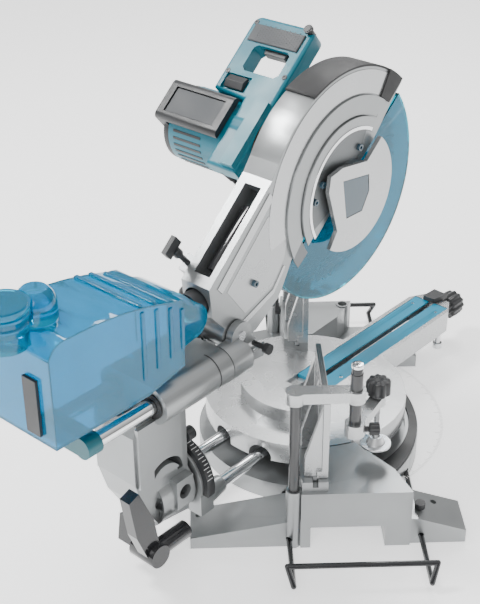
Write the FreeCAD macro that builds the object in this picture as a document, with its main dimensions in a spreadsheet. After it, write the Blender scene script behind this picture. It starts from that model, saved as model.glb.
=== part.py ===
# Sliding compound mitre saw, drawn in millimetres.
# Row frame: +Z up, X to the operator's right, -Y towards the operator, origin on the turntable axis at
# floor level. The turntable stands at mitre_angle to the right, the head is raised by raise_angle and both
# slides are fully back.
import FreeCAD, Part
import math
import os

Vec = FreeCAD.Vector
Rot = FreeCAD.Rotation
AXIS = {"x": Vec(1, 0, 0), "y": Vec(0, 1, 0), "z": Vec(0, 0, 1)}

# ---------------------------------------------------------------- driving dimensions
SIZES = {
    "pose": {"mitre_angle": 46.85, "raise_angle": 41},
    "base": {
        "table_top": 95, "half_width": 268, "table_rear": 26, "left_table_front": -130,
        "right_table_front": -100, "table_skin": 9, "foot_length_rear": 182, "foot_length_front": 210,
        "foot_width": 66, "foot_low": 18, "foot_height": 44, "arch_height": 36,
        "well_radius": 160, "scale_radius": 236, "scale_centre_y": 58, "scale_skin": 3,
        "skirt_height": 37, "pan_height": 30, "boss_radius": 11, "boss_top": 97, "pad_radius": 11,
        "pad_height": 3, "bolt_spacing_x": 430, "bolt_spacing_y": 340, "bolt_radius": 4.5},
    "turntable": {
        "disc_radius": 157, "disc_skin": 33, "arm_reach": 343, "arm_half": 40.5, "arm_depth": 39,
        "nose_reach": 372, "board_half": 33, "board_skin": 6, "kerf": 11, "board_rear": 22, "board_front": 352,
        "trough_depth": 27, "lip_radius": 103, "lip_inner": 74, "lip_top": 118, "lip_angle": 76,
        "tunnel_half": 58, "tunnel_rear": 116, "tunnel_height": 52, "neck_radius": 60,
        "knob_radius": 23, "knob_length": 48, "knob_height": 64, "spindle_radius": 7,
        "foot_bolt_radius": 5, "foot_bolt_reach": 350},
    "fence": {
        "fence_face": -12, "rail_height": 16, "rail_depth": 38, "rail_inner": 104, "fence_height": 128,
        "fence_skin": 9, "fence_length": 150, "web_depth": 24, "web_skin": 8},
    "holder": {"wire_radius": 4, "wire_rise": 25, "wire_reach": 362, "wire_low": 14, "wire_rear": 42,
               "wire_front": -146, "wire_tail": 120, "stud_radius": 7.5},
    "vise": {
        "rod_x": -258, "rod_y": 36, "rod_radius": 7.5, "rod_top": 246, "arm_top": 262, "arm_thick": 18,
        "post_y": -45, "post_radius": 8.5, "post_top": 297, "post_low": 194, "low_arm_top": 205,
        "low_arm_thick": 16, "screw_x": -190, "screw_y": -85, "screw_radius": 4, "knob_top": 232,
        "knob_high": 24, "vise_knob_radius": 18, "plate_z": 126, "plate_radius": 22},
    "slide": {
        "pole_pitch": 72, "low_pole_radius": 9.5, "low_pole_z": 66, "high_pole_radius": 11,
        "high_pole_z": 266, "holder_front": -240, "holder_rear": -300, "column_rear": -404,
        "column_front": -296, "lobe_radius": 27,
        "bearing_rear": -366, "bearing_front": -236, "bracket_front": -196, "cap_front": -466,
        "cap_rear": -490, "bevel_z": 97, "bevel_radius": 46, "cheek_half": 40, "cheek_skin": 11,
        "pivot_u": -195, "pivot_z": 295},
    "head": {
        "blade_a": 272, "blade_b": -65, "blade_radius": 152.5, "blade_thick": 2.4, "bore_radius": 12.7,
        "case_radius": 180, "case_inner": 176, "near_face": -27, "near_skin": 5, "far_face": 24,
        "far_skin": 6, "guard_radius": 172, "guard_skin": 2.5, "guard_near": -17, "guard_far": 11,
        "arm_high": 92, "arm_low": -50, "tube_radius": 12, "cover_near": -42,
        "slab_low": 50, "slab_high": 78, "slab_near": 57, "slab_far": 170, "slab_front": 433,
        "slab_rear": 192, "hole_rear": 343, "hole_front": 387, "hole_near": 75, "hole_far": 142,
        "motor_a": 262, "motor_b": 22, "motor_radius": 57, "motor_wall": 4, "motor_near": 60,
        "motor_far": 214, "collar_radius": 33.95, "gear_front": 304, "gear_rear": 207},
    "dust": {
        "box_near": -60, "box_far": 60, "box_low": 306, "box_rear": -546, "box_front": -391,
        "box_wall": 3, "socket_u": -281, "socket_z": 353, "socket_radius": 25, "socket_near": -34,
        "nozzle_radius": 19, "nozzle_wall": 3, "nozzle_front": -206},
    "cord": {"cord_radius": 3.5, "coil_radius": 42, "coil_height": 21, "coil_x": 385,
             "coil_y": 150, "gland_y": 130, "gland_z": 12},
}

doc = FreeCAD.newDocument("mitre_saw")
sheet = doc.addObject("Spreadsheet::Sheet", "sizes")
VALUE = {}
row = 0
for group, sizes in SIZES.items():
    row += 1
    sheet.set(f"A{row}", group)
    for alias, value in sizes.items():
        row += 1
        sheet.set(f"A{row}", alias)
        sheet.set(f"B{row}", str(value))
        sheet.setAlias(f"B{row}", alias)
        VALUE[alias] = value
doc.recompute()


class Sizes:
    """Driving dimensions by name, for places worked out in this script."""

    def __getattr__(self, alias):
        return float(VALUE[alias])


S = Sizes()
NODES = {}


def bound(text):
    """Turn a formula of aliases into a formula of sheet cells."""
    words = sorted((w for w in VALUE if w in text), key=len, reverse=True)
    for index, word in enumerate(words):
        text = text.replace(word, f"<{index}>")
    for index, word in enumerate(words):
        text = text.replace(f"<{index}>", f"sizes.{word}")
    return text


# ---------------------------------------------------------------- shapes
def make(kind, sizes, at, turn=None):
    shape = doc.addObject(kind, kind.split("::")[1].lower())
    for prop, text in sizes.items():
        shape.setExpression(prop, bound(str(text)))
    rotation = Rot()
    for axis, angle in (turn or []):
        rotation = Rot(AXIS[axis], angle) * rotation
    shape.Placement = FreeCAD.Placement(Vec(*at), rotation)
    return shape


def box(length, width, height, at, turn=None):
    return make("Part::Box", {"Length": length, "Width": width, "Height": height}, at, turn)


def span(x, y, z):
    """Box between two limits on each axis."""
    sides = [pair[1] - pair[0] for pair in (x, y, z)]
    return box(*sides, (x[0], y[0], z[0]))


POINTING = {"z": None, "x": [("y", 90)], "y": [("x", -90)], "-z": [("x", 180)], "-y": [("x", 90)],
            "-x": [("y", -90)]}


def rod(radius, length, at, along="z", turn=None):
    return make("Part::Cylinder", {"Radius": radius, "Height": length}, at, turn or POINTING[along])


def cone(radius, end_radius, length, at, along="z"):
    return make("Part::Cone", {"Radius1": radius, "Radius2": end_radius, "Height": length}, at,
                POINTING[along])


def ring(radius, section, at, along="z"):
    return make("Part::Torus", {"Radius1": radius, "Radius2": section}, at, POINTING[along])


def ball(radius, at):
    return make("Part::Sphere", {"Radius": radius}, at)


def fuse(*shapes):
    if len(shapes) == 1:
        return shapes[0]
    joined = doc.addObject("Part::MultiFuse", "joined")
    joined.Shapes = list(shapes)
    return joined


def group(*shapes):
    together = doc.addObject("Part::Compound", "group")
    together.Links = list(shapes)
    return together


def cut(shape, *tools):
    result = doc.addObject("Part::Cut", "cut")
    result.Base = shape
    result.Tool = fuse(*tools)
    return result


def common(shape, other):
    result = doc.addObject("Part::Common", "common")
    result.Base = shape
    result.Tool = other
    return result


def prism(points, low, high, plane="z"):
    """Outline drawn on a plane, a list of points or (middle, end) arcs, pushed from low to high."""
    place = {"z": lambda p: Vec(p[0], p[1], low), "y": lambda p: Vec(p[0], low, p[1]),
             "x": lambda p: Vec(low, p[0], p[1])}[plane]
    edges = []
    here = place(points[0])
    for point in points[1:] + [points[0]]:
        if isinstance(point[0], tuple):
            middle, end = (place(p) for p in point)
            edges.append(Part.Arc(here, middle, end).toShape())
        else:
            end = place(point)
            if here.distanceToPoint(end) > 1e-6:
                edges.append(Part.LineSegment(here, end).toShape())
        here = end
    push = AXIS[plane] * (high - low)
    solid = doc.addObject("Part::Feature", "outline")
    solid.Shape = Part.Face(Part.Wire(edges)).extrude(push)
    return solid


def soften(shape, radius, pick):
    """Round the edges that pick() chooses from their middle point and direction."""
    doc.recompute()
    chosen = []
    for index, edge in enumerate(shape.Shape.Edges, 1):
        ends = edge.Vertexes
        if len(ends) != 2:
            continue
        middle = edge.CenterOfMass
        direction = (ends[1].Point - ends[0].Point).normalize()
        if pick(middle, direction):
            chosen.append((index, radius, radius))
    rounded = doc.addObject("Part::Fillet", "rounded")
    rounded.Base = shape
    rounded.Edges = chosen
    doc.recompute()
    if not chosen or rounded.Shape.isNull() or not rounded.Shape.isValid():
        raise RuntimeError("an edge could not be rounded")
    return rounded


def along(name):
    unit = AXIS[name]
    return lambda middle, direction: abs(direction.dot(unit)) > 0.999


def bolt(radius, height, at, along_axis="z"):
    """Socket-head screw: head with a blind hexagon socket drawn as a round one."""
    head = rod(radius, height, at, along_axis)
    unit = {"z": Vec(0, 0, 1), "y": Vec(0, 1, 0), "x": Vec(1, 0, 0), "-y": Vec(0, -1, 0),
            "-x": Vec(-1, 0, 0)}[along_axis]
    top = Vec(*at) + unit * (height * 0.5)
    return cut(head, rod(radius * 0.5, height, tuple(top), along_axis))


# ---------------------------------------------------------------- frames
BASE = FreeCAD.Placement()
ARM = FreeCAD.Placement(Vec(0, 0, 0), Rot(AXIS["z"], S.mitre_angle - 90))
HEAD = ARM * FreeCAD.Placement(Vec(S.pivot_u, 0, S.pivot_z), Rot(AXIS["y"], -S.raise_angle))


def node(name, shape, frame):
    """Name a finished sub-part and stand it in its frame."""
    doc.recompute()
    shape.Placement = frame * shape.Placement
    shape.Label = name
    NODES[name] = shape


# ---------------------------------------------------------------- base
PADS = [(x, y) for x in (-S.half_width + 22, S.half_width - 22) for y in (-190, 164)]


def base():
    half = S.half_width
    left = prism([(-half, S.table_rear), (-half, S.left_table_front), (-215, -111), (-120, -40),
                  (-60, S.table_rear)], 0, S.table_top)
    right = prism([(half, S.table_rear), (half, S.right_table_front), (215, -72), (120, 10),
                   (60, S.table_rear)], 0, S.table_top)
    blocks = cut(fuse(left, right), rod("well_radius", "table_top * 2", (0, 0, S.pan_height)))
    wall = S.table_skin
    roof = S.table_top - wall
    hollow_left = prism([(-half + 14, S.table_rear - wall), (-half + 14, S.left_table_front + wall),
                         (-215, -98), (-172, -60), (-172, S.table_rear - wall)], -1, roof)
    hollow_right = prism([(half - 14, S.table_rear - wall), (half - 14, S.right_table_front + wall),
                          (220, -62), (172, -20), (172, S.table_rear - wall)], -1, roof)
    pan = cut(rod("well_radius + 8", "pan_height", (0, 0, 0)), rod("well_radius - 4", "pan_height", (0, 0, -8)))
    skirt = common(rod("scale_radius", "skirt_height", (0, S.scale_centre_y, 0)),
                   span((-205, 205), (-200, -60), (0, 60)))
    skirt = cut(skirt, rod("scale_radius - 8", "skirt_height", (0, S.scale_centre_y, -8)),
                rod("well_radius - 2", "table_top", (0, 0, S.pan_height)))
    feet = [foot(side) for side in (-1, 1)]
    arches = [prism([(side * (half + 12), 12), (side * (half - 70), 12), (side * (half - 70), -94),
                     (side * (half + 12), -94)], -1, S.arch_height) for side in (-1, 1)]
    rear_rib = cut(span((-172, 172), (10, S.table_rear), (0, 29)), span((-70, 70), (0, 60), (-1, 20)))
    body = cut(fuse(blocks, pan, skirt, rear_rib), hollow_left, hollow_right)
    bosses = [rod("boss_radius", "boss_top", (x, y, 0)) for x, y in
              ((S.rod_x, S.rod_y), (-S.rod_x, S.rod_y), (255, -84))]
    body = fuse(body, *feet, *bosses)
    sockets = [rod("rod_radius + 0.4", 60, (x, y, S.boss_top - 58)) for x, y in
               ((S.rod_x, S.rod_y), (-S.rod_x, S.rod_y), (255, -84))]
    holes = [rod("bolt_radius", 80, (x * S.bolt_spacing_x / 2, y * S.bolt_spacing_y / 2, -5))
             for x in (-1, 1) for y in (-1, 1)]
    tunnels = [rod("wire_radius + 0.6", 270, (side * 20, y, S.wire_low), "x" if side > 0 else "-x")
               for side in (-1, 1) for y in (S.wire_rear, S.wire_front)]
    studs = [rod(3.05, 60, (side * 240, S.wire_front, S.wire_low)) for side in (-1, 1)]
    axle = rod("spindle_radius + 0.05", 80, (0, 0, -5))
    wells = [rod("pad_radius + 0.05", "pad_height", (x, y, 0)) for x, y in PADS]
    gland = rod("cord_radius", 60, (S.half_width - 50, S.gland_y, S.gland_z), "x")
    node("base", cut(body, *arches, *sockets, *holes, *tunnels, *studs, *wells, axle, gland), BASE)


def foot(side):
    """Long foot along the end of the base, tapering to both toes."""
    outer = side * (S.half_width - 4)
    inner = side * (S.half_width - 4 - S.foot_width)
    return prism([(-S.foot_length_front, 0), (S.foot_length_rear, 0), (S.foot_length_rear, S.foot_low),
                  (S.table_rear + 14, S.foot_height), (-140, S.foot_height),
                  (-S.foot_length_front, S.foot_low + 3)], min(outer, inner), max(outer, inner), "x")


def base_parts():
    scale = common(rod("scale_radius - 1", "scale_skin", (0, S.scale_centre_y, S.skirt_height)),
                   span((-196, 196), (-200, -80), (0, 60)))
    beside = [prism([(-300, -136), (-212, -114), (-117, -42), (-117, 60), (-300, 60)], 30, 60),
              prism([(300, -120), (213, -75), (117, 8), (117, 60), (300, 60)], 30, 60)]
    scale = cut(scale, rod("well_radius + 4", 20, (0, 0, S.skirt_height - 5)), *beside)
    node("mitre_scale", scale, BASE)
    node("foot_pads", group(*[rod("pad_radius", "pad_height", (x, y, 0)) for x, y in PADS]), BASE)


# ---------------------------------------------------------------- fences
def fences():
    rails = []
    locks = []
    face = S.fence_face
    for side, word in ((-1, "left"), (1, "right")):
        inner, outer = S.rail_inner, S.half_width - 6
        rail = prism([(side * inner, face), (side * outer, face), (side * outer, face + S.rail_depth),
                      (side * (inner + 16), face + S.rail_depth)], S.table_top, S.table_top + S.rail_height)
        slot = span(sorted((side * (inner - 5), side * (outer + 5))), (face + 14, face + 22),
                    (S.table_top + 7, S.table_top + 40))
        clear = rod("boss_radius + 1", 60, (-side * S.rod_x, S.rod_y, S.table_top - 5))
        screw = rod(3.05, 30, (side * 225, face + 22, S.table_top + 9), "y")
        rails.append(cut(rail, slot, clear, screw))
        node(f"{word}_fence", sliding_fence(side), BASE)
        behind = face + S.rail_depth
        locks.append(fuse(rod(3, 14, (side * 225, face + 26, S.table_top + 9), "y"),
                          rod(7, 9, (side * 225, behind + 1, S.table_top + 9), "y"),
                          span(sorted((side * 221, side * 229)), (behind + 3, behind + 9),
                               (S.table_top + 9, S.table_top + 34))))
        locks.append(fuse(rod("stud_radius", 9, (side * 240, S.wire_front, S.foot_height + 1)),
                          rod(3, 26, (side * 240, S.wire_front, S.wire_low + 5))))
    node("fence_rails", group(*rails), BASE)
    node("lock_knobs", group(*locks), BASE)


def sliding_fence(side):
    """Tall plate with a sloping inner end, stiffened by three webs behind."""
    low = S.table_top + S.rail_height + 0.5
    top = low + S.fence_height
    inner, outer = side * S.rail_inner, side * (S.rail_inner + S.fence_length)
    face = S.fence_face
    plate = prism([(inner, low), (outer, low), (outer, top - 4), (outer - side * 4, top),
                   (inner, top), (inner, low + 40)], face, face + S.fence_skin, "y")
    webs = []
    for place in (0.06, 0.5, 0.94):
        middle = inner + (outer - inner) * place
        webs.append(prism([(face + 4, low), (face + S.fence_skin + S.web_depth, low),
                           (face + S.fence_skin + S.web_depth, low + 30), (face + 6, top - 4)],
                          middle - S.web_skin / 2, middle + S.web_skin / 2, "x"))
    rib = span(sorted((inner, outer)), (face + 4, face + S.fence_skin + 7), (low, low + 12))
    tongue = span(sorted((inner + side * 6, outer - side * 6)), (face + 14.6, face + 21.4),
                  (low - 8, low + 6))
    return fuse(plate, rib, tongue, *webs)


# ---------------------------------------------------------------- work holders
def holders():
    for side, word in ((-1, "left"), (1, "right")):
        radius = S.wire_radius
        reach = S.wire_reach
        low = S.wire_low
        parts = []
        for y in (S.wire_rear, S.wire_front):
            parts += [rod("wire_radius", reach - S.wire_tail, (side * S.wire_tail, y, low),
                          "x" if side > 0 else "-x"), ball("wire_radius", (side * reach, y, low))]
            lean = 8 if y == S.wire_rear else -8
            parts += [stick(radius, (side * reach, y, low), (side * (reach - 12), y + lean, low + S.wire_rise)),
                      ball("wire_radius", (side * (reach - 12), y + lean, low + S.wire_rise))]
        bar = [(side * (reach - 12), S.wire_rear + 8, low + S.wire_rise),
               (side * (reach - 12), S.wire_front - 8, low + S.wire_rise)]
        node(f"{word}_work_holder", fuse(*parts, stick(radius, *bar)), BASE)


def stick(radius, start, end):
    """Round bar between two points."""
    start, end = Vec(*start), Vec(*end)
    bar = doc.addObject("Part::Feature", "stick")
    bar.Shape = Part.makeCylinder(radius, (end - start).Length, start, end - start)
    return bar


# ---------------------------------------------------------------- vise
def vise():
    x, y = S.rod_x, S.rod_y
    low = S.boss_top - 56
    node("vise_rod", rod("rod_radius", S.rod_top - low, (x, y, low)), BASE)
    arm_low = S.arm_top - S.arm_thick
    upper = fuse(rod(14, "arm_thick", (x, y, arm_low)), rod(13, "arm_thick", (x, S.post_y, arm_low)),
                 span((x - 10, x + 11), (S.post_y, y), (arm_low + 2, S.arm_top)))
    upper = cut(upper, rod("rod_radius + 0.05", S.rod_top - arm_low, (x, y, arm_low)),
                rod("post_radius + 0.05", 60, (x, S.post_y, arm_low - 5)))
    node("vise_upper_arm", upper, BASE)
    post = fuse(rod("post_radius", S.post_top - 6 - S.post_low, (x, S.post_y, S.post_low - 4)),
                rod("post_radius - 1", 10, (x, S.post_y, S.post_top - 10)))
    node("vise_post", post, BASE)
    angle = math.degrees(math.atan2(S.screw_y - S.post_y, S.screw_x - x))
    length = math.hypot(S.screw_y - S.post_y, S.screw_x - x)
    low_arm = S.low_arm_top - S.low_arm_thick
    lower = fuse(rod(14, "low_arm_thick + 4", (x, S.post_y, low_arm)),
                 rod(11, "low_arm_thick", (S.screw_x, S.screw_y, low_arm + 2)),
                 box(length, 18, "low_arm_thick - 2", (x - 9 * math.sin(-math.radians(angle)),
                     S.post_y - 9 * math.cos(math.radians(angle)), low_arm + 3), [("z", angle)]))
    lower = cut(lower, rod("post_radius + 0.05", 60, (x, S.post_y, low_arm + 1)),
                rod("screw_radius + 0.3", 60, (S.screw_x, S.screw_y, low_arm - 5)))
    node("vise_lower_arm", lower, BASE)
    top = S.knob_top
    knob = rod("vise_knob_radius", "knob_high", (S.screw_x, S.screw_y, top - S.knob_high))
    screw = fuse(knob, rod("screw_radius", top - S.plate_z - 8, (S.screw_x, S.screw_y, S.plate_z + 4)),
                 ball(6, (S.screw_x, S.screw_y, S.plate_z + 8)))
    node("vise_screw", screw, BASE)
    plate = fuse(rod("plate_radius", 3, (S.screw_x, S.screw_y, S.plate_z - 4)),
                 cone(14, 9, 12, (S.screw_x, S.screw_y, S.plate_z - 2)))
    plate = cut(plate, ball(6.3, (S.screw_x, S.screw_y, S.plate_z + 8)),
                rod("screw_radius + 2", 20, (S.screw_x, S.screw_y, S.plate_z + 4)))
    node("vise_plate", plate, BASE)


# ---------------------------------------------------------------- turntable
def turntable():
    top = S.table_top
    low = top - S.disc_skin
    arm = prism([(100, -S.arm_half), (S.arm_reach, -S.arm_half), (S.nose_reach, -S.arm_half + 16),
                 (S.nose_reach, S.arm_half - 16), (S.arm_reach, S.arm_half), (100, S.arm_half)],
                top - S.arm_depth, top)
    disc = rod("disc_radius", "disc_skin", (0, 0, low))
    hub = rod("neck_radius", low - S.pan_height - 1, (0, 0, S.pan_height + 1))
    axle = rod("spindle_radius", S.pan_height + 6, (0, 0, 4))
    tunnel = span((-S.tunnel_rear, -20), (-S.tunnel_half, S.tunnel_half),
                  (top - S.tunnel_height + 2, top - 2))
    lip = cut(rod("lip_radius", "lip_top - table_top + 20", (0, 0, top - 20)),
              rod("lip_inner", 80, (0, 0, top)))
    wedge = prism([(0, 0), (-200, -200 * math.tan(math.radians(S.lip_angle / 2))),
                   (-200, 200 * math.tan(math.radians(S.lip_angle / 2)))], top - 20, top + 60)
    body = fuse(disc, arm, hub, axle, tunnel, common(lip, wedge))
    floor = top - S.board_skin
    boards = span((S.board_rear - 30, S.board_front + 1), (-S.board_half - 0.4, S.board_half + 0.4),
                  (floor, top + 5))
    trough = span((-40, S.board_front - 2), (-9, 9), (floor - S.trough_depth, top + 60))
    hollow = span((150, S.arm_reach - 12), (-S.arm_half + 6, S.arm_half - 6), (0, floor - 10))
    poles = [rod("low_pole_radius + 0.05", 330, (-S.disc_radius - 5, side * S.pole_pitch / 2, S.low_pole_z),
                 "x") for side in (-1, 1)]
    poles += [rod(18, 38, (-S.disc_radius - 5, side * S.pole_pitch / 2, S.low_pole_z), "x")
              for side in (-1, 1)]
    socket = rod("spindle_radius + 0.4", 60, (S.nose_reach - 34, 0, S.knob_height), "x")
    bolt_hole = rod("foot_bolt_radius", S.table_top - 13, (S.foot_bolt_reach, -20, 0))
    spring = [rod(3, 14, (u, v, floor - 12)) for u in (60, 330) for v in (-24, 24)]
    relief = span((-40, S.board_front - 2), (-17, 17), (floor - 9, floor + 1))
    node("turntable", cut(body, boards, trough, relief, hollow, *poles, socket, bolt_hole, *spring), ARM)


def turntable_parts():
    top = S.table_top
    floor = top - S.board_skin
    edge = S.kerf / 2
    boards = []
    for side in (-1, 1):
        outline = [(S.board_rear, side * edge), (S.board_front, side * edge),
                   (S.board_front, side * S.board_half), (S.board_rear, side * S.board_half)]
        holes = [rod(2.8, 30, (u, side * 24, floor - 5)) for u in (60, 330)]
        under = prism([(side * edge, top - 3), (side * (edge + 8), floor - 1), (side * edge, floor - 1)],
                      0, S.board_front + 5, "x")
        boards.append(cut(prism(outline, floor, top - 0.4), *holes, under))
    node("kerf_boards", group(*boards), ARM)
    foot_bolt = fuse(rod("foot_bolt_radius", 62, (S.foot_bolt_reach, -20, 20)),
                     rod(8, 10, (S.foot_bolt_reach, -20, 12)))
    screws = [bolt(2.8, 14, (u, v, floor - 9.5)) for u in (60, 330) for v in (-24, 24)]
    node("table_screws", group(*screws, foot_bolt), ARM)
    reach = S.nose_reach
    grip = fuse(rod("knob_radius - 5", 16, (reach + 12, 0, S.knob_height), "x"),
                rod("knob_radius", "knob_length - 16", (reach + 26, 0, S.knob_height), "x"),
                rod("spindle_radius", 46, (reach - 30, 0, S.knob_height), "x"))
    node("grip_knob", grip, ARM)
    lever = prism([(reach - 22, -6), (reach + 8, -14), (reach + 10, 14), (reach - 22, 16)],
                  top + 1, top + 9)
    node("detent_lever", fuse(lever, span((reach + 3, reach + 8), (-8, 8), (top - 16, top + 2))), ARM)


# ---------------------------------------------------------------- lower slide and bevel joint
def lower_slide():
    side_v = S.pole_pitch / 2
    poles = [rod("low_pole_radius", 330, (S.holder_rear + 14, side * side_v, S.low_pole_z), "x")
             for side in (-1, 1)]
    node("lower_poles", group(*poles), ARM)
    front, rear = S.holder_front, S.holder_rear
    sleeves = [cone(17, 13, 34, (front - 34, side * side_v, S.low_pole_z), "x") for side in (-1, 1)]
    plate = span((rear + 2, front - 32), (-side_v - 17, side_v + 17), (S.low_pole_z - 17, S.low_pole_z + 17))
    hub = rod("bevel_radius + 8", 26, (rear + 2, 0, S.bevel_z), "x")
    bores = [rod("low_pole_radius + 0.05", 400, (rear + 13, side * side_v, S.low_pole_z), "x")
             for side in (-1, 1)]
    pin = rod("spindle_radius + 3.05", 80, (rear - 5, 0, S.bevel_z), "x")
    holder = fuse(plate, hub, *sleeves)
    node("slide_holder", cut(holder, pin, *bores), ARM)
    arc = cut(rod("bevel_radius + 18", 14, (rear + 6, 0, S.bevel_z), "x"),
              rod("bevel_radius + 8", 40, (rear, 0, S.bevel_z), "x"),
              span((rear - 10, rear + 60), (-90, 90), (0, S.bevel_z - 12)))
    node("bevel_scale", arc, ARM)


def bevel_arm():
    rear, front = S.column_rear, S.column_front - 5
    z = S.bevel_z
    round_foot = rod("bevel_radius", 62, (front - 62, 0, z), "x")
    column = prism([(rear + 38, 70), (front - 4, 60), (front - 4, 240), (front - 14, 249), (rear + 8, 249),
                    (rear, 232), (rear, 156), (rear + 14, 110)], -36, 36, "y")
    ribs = [prism([(rear + 4, 150), (front - 20, 150), (front - 20, 246), (rear + 4, 246)], low, low + 6, "y")
            for low in (-42, 36)]
    bearing_length = S.bearing_front - S.bearing_rear
    lobes = [rod("lobe_radius", bearing_length, (S.bearing_rear, side * S.pole_pitch / 2, S.high_pole_z),
                 "x") for side in (-1, 1)]
    bridge = span((S.bearing_rear, S.bearing_front), (-S.pole_pitch / 2, S.pole_pitch / 2),
                  (S.high_pole_z - S.lobe_radius, S.high_pole_z + S.lobe_radius))
    bores = [rod("high_pole_radius + 0.05", 400, (S.bearing_rear - 60, side * S.pole_pitch / 2,
                 S.high_pole_z), "x") for side in (-1, 1)]
    slot = [cut(rod(38, 120, (rear + 52, -60, z + 40), "y"), rod(28, 120, (rear + 52, -60, z + 40), "y"),
                span((rear - 60, rear + 30), (-80, 80), (0, 400)), span((rear - 60, rear + 160), (-80, 80),
                (0, z + 42)))]
    shaft = rod("spindle_radius + 3", 90, (front - 60, 0, z), "x")
    wells = [rod(10, 14, (rear + 44, -43, z + 6), "y"), rod(9, 16, (front - 16, -43, z + 8), "y")]
    boss = span((front - 40, front - 8), (-50, -30), (z - 12, z + 34))
    boss_hole = rod(11, 16, (front - 24, -51, z + 12), "y")
    lever_socket = rod(5.05, 60, (rear + 78, 0, z - 18), "-x")
    release = rod(4.05, 12, (front - 11, -30, z + 84), "x")
    body = cut(fuse(round_foot, column, *ribs, *lobes, bridge, boss, shaft), *bores, *slot, *wells,
               boss_hole, lever_socket, release)
    node("bevel_arm", body, ARM)


def bevel_parts():
    rear, front, z = S.column_rear, S.column_front - 5, S.bevel_z
    hub = rod(17, 44, (rear + 4, -30, z - 42), "-y")
    paddle = prism([(rear - 12, z - 40), (rear + 14, z - 50), (rear + 2, z + 20), (rear - 22, z + 76),
                    (rear - 40, z + 70), (rear - 30, z + 6)], -66, -48, "y")
    grip = rod(13, 66, (rear + 2, -58, z - 42), "x")
    lever = fuse(hub, paddle, grip)
    stub = rod(5, 62, (rear + 8, 0, z - 18), "x")
    bridge = prism([(rear + 2, z - 54), (rear + 22, z - 54), (rear + 22, z - 18), (rear + 8, z - 12)],
                   -40, 8, "y")
    node("bevel_lever", cut(fuse(lever, stub, bridge), span((rear + 37, rear + 200), (-44, 60), (0, 72))), ARM)
    node("bevel_release_knob", fuse(rod(10, 14, (front - 2, -30, z + 84), "x"),
                                    rod(4, 10, (front - 10, -30, z + 84), "x")), ARM)


# ---------------------------------------------------------------- upper slide
def upper_slide():
    side_v = S.pole_pitch / 2
    start = S.cap_rear + 4
    poles = [rod("high_pole_radius", S.bracket_front - 12 - start, (start, side * side_v, S.high_pole_z), "x")
             for side in (-1, 1)]
    node("upper_poles", group(*poles), ARM)
    cap = fuse(*[rod("high_pole_radius + 4", S.cap_front - S.cap_rear, (S.cap_rear, side * side_v,
                     S.high_pole_z), "x") for side in (-1, 1)],
               span((S.cap_rear, S.cap_front), (-side_v, side_v), (S.high_pole_z - 13, S.high_pole_z + 13)))
    cap = cut(cap, *[rod("high_pole_radius + 0.05", 60, (start, side * side_v, S.high_pole_z), "x")
                     for side in (-1, 1)])
    node("pole_end_cap", cap, ARM)
    begin = S.bearing_front + 1.5
    lobes = [rod("lobe_radius", S.bracket_front - begin, (begin, side * side_v, S.high_pole_z), "x")
             for side in (-1, 1)]
    low = S.high_pole_z - S.lobe_radius
    bridge = span((begin, S.bracket_front), (-side_v, side_v), (low, S.high_pole_z + S.lobe_radius))
    pivot_u, pivot_z = S.pivot_u, S.pivot_z
    cheek = [(begin + 8, low + 10), (pivot_u + 46, low + 2), (pivot_u + 50, pivot_z - 40),
             (pivot_u + 20, pivot_z - 6), ((pivot_u + 14.2, pivot_z + 14.2), (pivot_u, pivot_z + 20)),
             ((pivot_u - 14.2, pivot_z + 14.2), (pivot_u - 20, pivot_z)), (begin + 8, pivot_z - 10)]
    cheeks = [prism(cheek, *sorted((side * S.cheek_half, side * (S.cheek_half - S.cheek_skin))), "y")
              for side in (-1, 1)]
    nub = span((pivot_u + 44, pivot_u + 56), (-S.cheek_half, -S.cheek_half + 9), (pivot_z - 50, pivot_z - 38))
    web = span((pivot_u + 20, pivot_u + 48), (-S.cheek_half + 4, S.cheek_half - 4), (low + 2, low + 8))
    bores = [rod("high_pole_radius + 0.05", 300, (S.bearing_front - 50, side * side_v, S.high_pole_z), "x")
             for side in (-1, 1)]
    trim = span((begin - 5, pivot_u + 60), (-S.cheek_half + S.cheek_skin, S.cheek_half - S.cheek_skin),
                (S.high_pole_z - 5, pivot_z + 60))
    ends = rod("spindle_radius + 0.05", 200, (pivot_u, -100, pivot_z), "y")
    lock = rod(4.05, 20, (pivot_u + 34, -S.cheek_half + 14, pivot_z - 30), "-y")
    body = cut(fuse(*lobes, bridge, *cheeks, nub, web), *bores, ends, trim, lock)
    stops = [span((S.bracket_front - 5, S.bracket_front), (side * side_v - 9, side * side_v + 9),
                  (S.high_pole_z - 9, S.high_pole_z + 9)) for side in (-1, 1)]
    node("pivot_bracket", fuse(body, *stops), ARM)
    node("pivot_bolt", rod("spindle_radius", 2 * S.cheek_half + 4, (pivot_u, -S.cheek_half - 2, pivot_z),
                           "y"), ARM)
    stop_pin = rod(4, 26, (pivot_u + 34, -S.cheek_half + 9, pivot_z - 30), "-y")
    node("head_lock_pin", fuse(stop_pin, rod(8, 8, (pivot_u + 34, -S.cheek_half - 14, pivot_z - 30), "-y")),
         ARM)


# ---------------------------------------------------------------- head
def disc(radius, low, high):
    """Round plate about the blade axis between two sideways planes."""
    return rod(radius, high - low, (S.blade_a, low, S.blade_b), "y")


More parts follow.
